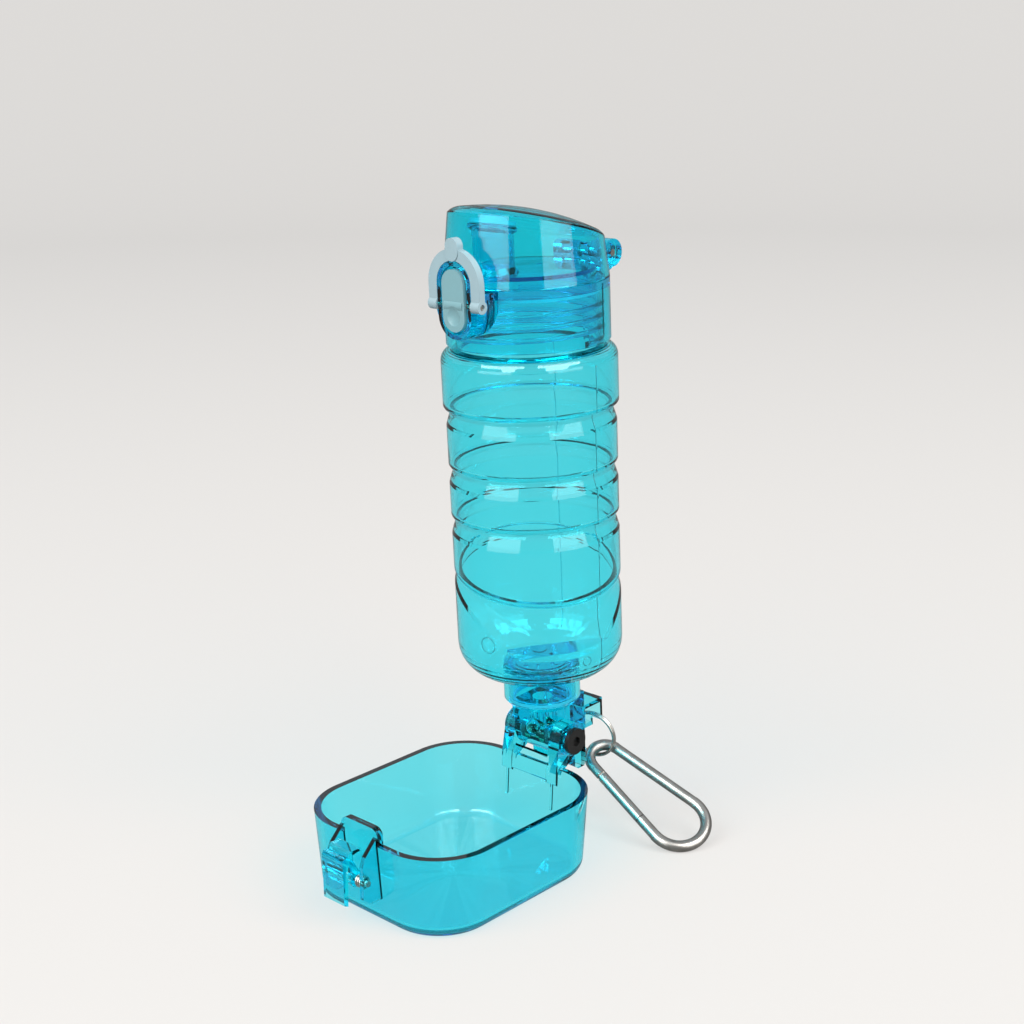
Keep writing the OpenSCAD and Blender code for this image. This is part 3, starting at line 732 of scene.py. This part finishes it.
@dataclass
class SubAssembly:
    """Pieces that are dressed together."""

    nodes: dict[str, bpy.types.Object]

    def dress(self, finish: Finish, *names: str) -> None:
        """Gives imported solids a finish.

        Args:
            finish: The finish.
            *names: The solids' names.
        """
        for name in names:
            piece = self.nodes[name]
            piece.data.materials.clear()
            piece.data.materials.append(finish.made())
            LOG.info("solid %s wears %s", name, finish.name)

    def build(self) -> None:
        """Dresses the solids and adds the details."""
        raise NotImplementedError


@dataclass
class Bowl(SubAssembly):
    """The drinking bowl with its latch and the screw of the hinge."""

    def build(self) -> None:
        """Dresses the solids and adds the details."""
        self.dress(Finish.BOWL, "bowl", "latch_lever")
        self.dress(Finish.BLACK, "hinge_screw")
        self.dress(Finish.STEEL, "hinge_nut", "latch_pin", "latch_spring")


@dataclass
class Bottle(SubAssembly):
    """The bottle's body with the hinge block, the valve and the mould's marks.

    Attributes:
        radius: The wall's radius.
        ray_start: Distance from the axis at which a ray towards the wall starts.
        seam_angles: The parting lines' angles from the front, in degrees.
        seam_low: Where they begin, over the hinge pin.
        seam_high: Where they end.
        seam_steps: Steps in one line.
        seam_width: Their width.
        seam_rise: Their height over the wall.
        seam_flat: The crest's share of their width.
        seam_sunk: How deep their foot is sunk into the wall.
        marks: The ejector marks: angle from the front, height over the hinge pin, and radius.
        mark_points: Points round one mark.
        mark_width: Width of a mark's ring.
        mark_rise: Its height over the wall.
        mark_flat: The crest's share of its width.
        mark_sunk: How deep its foot is sunk into the wall.
    """

    radius: float = 0.035
    ray_start: float = 0.2
    seam_angles: tuple[float, ...] = (89.0, 205.0)
    seam_low: float = 0.036
    seam_high: float = 0.166
    seam_steps: int = 150
    seam_width: float = 0.00045
    seam_rise: float = 0.0001
    seam_flat: float = 0.4
    seam_sunk: float = 0.00005
    marks: tuple[tuple[float, float, float], ...] = ((5.0, 0.0515, 0.0034), (76.0, 0.0435, 0.0019))
    mark_points: int = 32
    mark_width: float = 0.0004
    mark_rise: float = 0.0001
    mark_flat: float = 0.5
    mark_sunk: float = 0.00006

    def build(self) -> None:
        """Dresses the solids and adds the details."""
        self.dress(Finish.BODY, "bottle_body")
        self.dress(Finish.BLOCK, "outlet_cap")
        self.dress(Finish.CAP, "outlet_disc")
        self.dress(Finish.SILICONE, "outlet_gasket")
        self.dress(Finish.BARREL, "valve_barrel")
        self.dress(Finish.RUBBER, "valve_seal_left", "valve_seal_right")
        wall = search_tree("bottle_body")
        for number, angle in enumerate(self.seam_angles):
            self.seam(wall, number, angle)
        for number, (angle, height, size) in enumerate(self.marks):
            self.mark(wall, number, angle, height, size)

    def on_wall(self, wall: BVHTree, angle: float, height: float) -> tuple[Vector, Vector] | None:
        """Where a level ray from outside meets the wall.

        Args:
            wall: The wall's search tree.
            angle: The ray's angle from the front, in degrees.
            height: Its height over the hinge pin.

        Returns:
            The point and the wall's normal, or None where the ray misses.
        """
        place = bottle_frame()
        away = direction(angle)
        start = place @ (away * self.ray_start + Vector((0.0, 0.0, height)))
        point, normal, _, _ = wall.ray_cast(start, -(place.to_3x3() @ away))
        return None if point is None else (point, normal)

    def seam(self, wall: BVHTree, number: int, angle: float) -> None:
        """Adds a parting line of the mould down the wall.

        Args:
            wall: The wall's search tree.
            number: The line's number, for its name.
            angle: Its angle from the front, in degrees.
        """
        found = []
        for i in range(self.seam_steps + 1):
            height = self.seam_low + (self.seam_high - self.seam_low) * i / self.seam_steps
            hit = self.on_wall(wall, angle, height)
            if hit is not None:
                found.append(hit)
        outline = ridge_outline(self.seam_width / 2, self.seam_rise, self.seam_flat, self.seam_sunk)
        mesh = swept_mesh([point for point, _ in found], outline, [normal for _, normal in found])
        add_piece(f"body_seam_{number}", mesh, Finish.BODY, "bottle")

    def mark(self, wall: BVHTree, number: int, angle: float, height: float, size: float) -> None:
        """Adds a round mark that an ejector pin of the mould leaves.

        Args:
            wall: The wall's search tree.
            number: The mark's number, for its name.
            angle: Its angle from the front, in degrees.
            height: Its height over the hinge pin.
            size: Its radius.
        """
        path, out = [], []
        for i in range(self.mark_points):
            turn = 2 * math.pi * i / self.mark_points
            side = math.degrees(size * math.cos(turn) / self.radius)
            hit = self.on_wall(wall, angle + side, height + size * math.sin(turn))
            if hit is not None:
                path.append(hit[0])
                out.append(hit[1])
        outline = ridge_outline(self.mark_width / 2, self.mark_rise, self.mark_flat, self.mark_sunk)
        mesh = swept_mesh(path, outline, out, closed=True)
        add_piece(f"body_mark_{number}", mesh, Finish.BODY, "bottle")


@dataclass
class Cap(SubAssembly):
    """The collar with the neck's thread inside it, the spout, the lid, the button and the bail.

    Attributes:
        thread_radius: The neck's radius, where the thread stands.
        thread_low: Where the thread begins, over the hinge pin.
        thread_pitch: Its rise in one turn.
        thread_turns: Its turns.
        thread_steps: Steps in one turn.
        thread_rise: Its height over the neck.
        thread_shoulder: The shoulders' height as a share of the crest's.
        thread_foot: Half of its width at the foot.
        thread_crest: Half of its width at the shoulders.
        thread_sunk: How deep its foot is sunk into the neck.
        collar_radius: The collar's radius.
        rib_angle: The rib's angle from the front, in degrees.
        rib_low: Where the rib begins, over the hinge pin.
        rib_high: Where it ends.
        rib_steps: Steps along it.
        rib_width: Its width.
        rib_rise: Its height over the collar.
        rib_flat: The crest's share of its width.
        rib_sunk: How deep its foot is sunk into the collar.
    """

    thread_radius: float = 0.0295
    thread_low: float = 0.1735
    thread_pitch: float = 0.0046
    thread_turns: float = 3.4
    thread_steps: int = 72
    thread_rise: float = 0.0012
    thread_shoulder: float = 0.9
    thread_foot: float = 0.0011
    thread_crest: float = 0.0006
    thread_sunk: float = 0.0002
    collar_radius: float = 0.0334
    rib_angle: float = 106.0
    rib_low: float = 0.1765
    rib_high: float = 0.1965
    rib_steps: int = 4
    rib_width: float = 0.0017
    rib_rise: float = 0.0004
    rib_flat: float = 0.7
    rib_sunk: float = 0.00006

    def build(self) -> None:
        """Dresses the solids and adds the details."""
        self.dress(Finish.CAP, "collar", "spout", "lid")
        self.dress(Finish.MILKY, "bail_lock")
        self.dress(Finish.INSERT, "push_button")
        self.dress(Finish.SILICONE, "collar_gasket", "lid_seal")
        self.dress(Finish.STEEL, "lid_pin", "lid_spring", "cross_pin", "button_spring")
        self.thread()
        self.rib()

    def rib(self) -> None:
        """Adds the upright rib on the collar's wall."""
        place = bottle_frame()
        away = direction(self.rib_angle)
        path = []
        for i in range(self.rib_steps + 1):
            height = self.rib_low + (self.rib_high - self.rib_low) * i / self.rib_steps
            path.append(place @ (away * self.collar_radius + Vector((0.0, 0.0, height))))
        outline = ridge_outline(self.rib_width / 2, self.rib_rise, self.rib_flat, self.rib_sunk)
        out = [place.to_3x3() @ away] * len(path)
        mesh = swept_mesh(path, outline, out)
        add_piece("collar_rib", mesh, Finish.CAP, "collar", smooth=False)

    def thread(self) -> None:
        """Adds the screw thread of the filling neck, which shows through the collar."""
        place = bottle_frame()
        turn = place.to_3x3()
        path, out = [], []
        for i in range(int(self.thread_turns * self.thread_steps) + 1):
            angle = 2 * math.pi * i / self.thread_steps
            away = Vector((math.cos(angle), math.sin(angle), 0.0))
            height = self.thread_low + self.thread_pitch * i / self.thread_steps
            path.append(place @ (away * self.thread_radius + Vector((0.0, 0.0, height))))
            out.append(turn @ away)
        shoulder = self.thread_rise * self.thread_shoulder
        outline = [
            (-self.thread_sunk, -self.thread_foot),
            (shoulder, -self.thread_crest),
            (self.thread_rise, 0.0),
            (shoulder, self.thread_crest),
            (-self.thread_sunk, self.thread_foot),
        ]
        add_piece("neck_thread", swept_mesh(path, outline, out), Finish.THREAD, "bottle")


@dataclass
class CarryGear(SubAssembly):
    """The split ring and the carabiner."""

    def build(self) -> None:
        """Dresses the solids."""
        self.dress(Finish.STEEL, "split_ring", "gate_rivet")
        self.dress(Finish.ALLOY, "carabiner", "carabiner_gate")


# --------------------------------------------------------------------------------------------
# Studio
# --------------------------------------------------------------------------------------------


@dataclass
class Softbox:
    """A soft area light, placed by its direction from the point that it faces.

    Attributes:
        name: The light's name.
        turn: Its direction from the front, turned towards +X, in degrees.
        height: Its height over the horizon, in degrees.
        away: Its distance from the point that it faces.
        width: Its width.
        tall: Its height from edge to edge.
        power: Its power in watts.
        colour: Its colour.
    """

    name: str
    turn: float
    height: float
    away: float
    width: float
    tall: float
    power: float
    colour: Colour = (1.0, 0.985, 0.96)

    def build(self, aim: Vector) -> None:
        """Adds the light.

        Args:
            aim: The point that it faces.
        """
        place = aim + self.away * direction(self.turn, self.height)
        data = bpy.data.lights.new(self.name, "AREA")
        data.shape = "RECTANGLE"
        data.size = self.width
        data.size_y = self.tall
        data.energy = self.power
        data.color = self.colour
        lamp = bpy.data.objects.new(self.name, data)
        lamp.location = place
        lamp.rotation_euler = (aim - place).to_track_quat("-Z", "Y").to_euler()
        bpy.context.scene.collection.objects.link(lamp)


@dataclass
class Studio:
    """A pale floor that rises into a round backdrop, soft lights and the camera.

    Attributes:
        floor_radius: The backdrop's radius.
        first_ring: Radius of the floor's first ring of corners.
        bend: Radius of the bend between the floor and the wall.
        bend_steps: Steps in the bend.
        wall: The wall's height.
        around: Faces in one turn of the backdrop.
        paper_colour: The backdrop's colour.
        paper_specular: How strongly it mirrors.
        paper_light: The colour of its glow.
        paper_glow: The strength of its glow.
        room_dimming: The share of the glow that mirrored light lacks.
        windows: The lights' names and directions from the front, turned towards +X, in degrees.
        middle: The point that the lights face.
        room_colour: The colour of the room above the backdrop.
        room_glow: The strength of its light.
        eye: The camera's place.
        azimuth: The camera's direction from the front, turned towards +X, in degrees.
        elevation: Its height over the horizon, in degrees.
        roll: Its roll, in degrees.
        shift_left: How far it is moved to its left.
        focal_px: Its focal length, in pixels of a square image with the side image_px.
        image_px: The side of that image.
        sensor_mm: The sensor's width, in millimetres.
        clip_start: The nearest distance that it sees.
        bounces: How often light may bounce.
    """

    floor_radius: float = 3.6
    first_ring: float = 0.4
    bend: float = 0.9
    bend_steps: int = 12
    wall: float = 1.5
    around: int = 96
    paper_colour: Colour = (0.13, 0.127, 0.124)
    paper_specular: float = 0.1
    paper_light: Colour = (1.0, 0.98, 0.955)
    paper_glow: float = 0.53
    room_dimming: float = 0.8
    windows: tuple[tuple[str, float], ...] = (("window_left", -3.5), ("window_right", 91.0))
    middle: Vector = field(default_factory=lambda: Vector((0.0, 0.02, 0.15)))
    room_colour: Colour = (0.92, 0.95, 1.0)
    room_glow: float = 0.7
    eye: Vector = field(default_factory=lambda: Vector((0.4396, -0.4245, 0.3263)))
    azimuth: float = 43.39
    elevation: float = 15.55
    roll: float = -0.9
    shift_left: float = 0.0013
    focal_px: float = 1614.6
    image_px: float = 1024.0
    sensor_mm: float = 36.0
    clip_start: float = 0.01
    bounces: int = 32

    def build(self) -> None:
        """Builds the backdrop, the lights and the camera."""
        self.backdrop()
        for lamp in self.softboxes():
            lamp.build(self.middle)
        self.room()
        self.camera()
        scene = bpy.context.scene
        scene.view_settings.view_transform = "Standard"
        # Light meets many walls of clear plastic on its way through
        scene.cycles.max_bounces = self.bounces
        scene.cycles.transmission_bounces = self.bounces
        scene.cycles.transparent_max_bounces = self.bounces

    def softboxes(self) -> list[Softbox]:
        """The studio's lights: a high one and a low one on each side of the camera."""
        high = [
            Softbox(name, turn, height=42.0, away=2.6, width=2.3, tall=1.6, power=120.0)
            for name, turn in self.windows
        ]
        low = [
            Softbox(f"{name}_foot", turn, height=9.0, away=2.5, width=2.2, tall=1.1, power=24.0)
            for name, turn in self.windows
        ]
        return high + low

    def backdrop(self) -> None:
        """Adds the floor with its backdrop, a turned sheet."""
        flat = self.floor_radius - self.bend
        outline = [(self.first_ring, 0.0), (flat, 0.0)]
        for i in range(1, self.bend_steps + 1):
            turn = math.radians(90 * i / self.bend_steps)
            outline.append((flat + self.bend * math.sin(turn), self.bend * (1 - math.cos(turn))))
        outline.append((self.floor_radius, self.wall))
        sheet = placed_object("backdrop", turned_mesh(outline, self.around), smooth=True)
        sheet.data.materials.append(self.paper())

    def paper(self) -> bpy.types.Material:
        """The backdrop's material: dull paper that glows a little."""
        material, shader, _ = new_material("backdrop_paper")
        tree = material.node_tree
        skin = MouldedSkin().place(tree, polish=0.75, scuffs=0.1, ripple_scale=3.0, ripple_depth=0.2)
        tree.links.new(skin.outputs["Roughness"], shader.inputs["Roughness"])
        shader.inputs["Base Color"].default_value = (*self.paper_colour, 1.0)
        shader.inputs["Specular IOR Level"].default_value = self.paper_specular
        shader.inputs["Emission Color"].default_value = (*self.paper_light, 1.0)
        # The side of the room that faces the bottle is dimmer than the paper behind it
        path = tree.nodes.new("ShaderNodeLightPath")
        mirrored = math_node(
            tree, "SUBTRACT", path.outputs["Is Glossy Ray"], path.outputs["Is Transmission Ray"]
        )
        dimming = math_node(tree, "MULTIPLY", mirrored, self.paper_glow * self.room_dimming)
        glow = math_node(tree, "SUBTRACT", self.paper_glow, dimming)
        tree.links.new(glow, shader.inputs["Emission Strength"])
        return material

    def room(self) -> None:
        """Sets the dim room above the backdrop."""
        world = bpy.data.worlds.new("room")
        world.use_nodes = True
        back = world.node_tree.nodes["Background"]
        back.inputs["Color"].default_value = (*self.room_colour, 1.0)
        back.inputs["Strength"].default_value = self.room_glow
        bpy.context.scene.world = world

    def camera(self) -> None:
        """Adds the camera."""
        turn, roll = math.radians(self.azimuth), math.radians(self.roll)
        back = direction(self.azimuth, self.elevation)
        right = Vector((math.cos(turn), math.sin(turn), 0.0))
        up = back.cross(right)
        across = right * math.cos(roll) + up * math.sin(roll)
        above = up * math.cos(roll) - right * math.sin(roll)
        data = bpy.data.cameras.new("camera")
        data.sensor_width = self.sensor_mm
        data.lens = self.focal_px * self.sensor_mm / self.image_px
        data.clip_start = self.clip_start
        camera = bpy.data.objects.new("camera", data)
        place = Matrix.Translation(self.eye - right * self.shift_left)
        camera.matrix_world = place @ Matrix((across, above, back)).transposed().to_4x4()
        bpy.context.scene.collection.objects.link(camera)
        bpy.context.scene.camera = camera


def main() -> None:
    """Loads the solids, dresses them, adds the details and sets up the studio."""
    logging.basicConfig(level=logging.INFO, format="%(name)s: %(message)s")
    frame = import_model()
    nodes = frame["nodes"]
    for part in (Bowl(nodes), Bottle(nodes), Cap(nodes), CarryGear(nodes)):
        part.build()
    Studio().build()


if __name__ == "__main__":
    main()
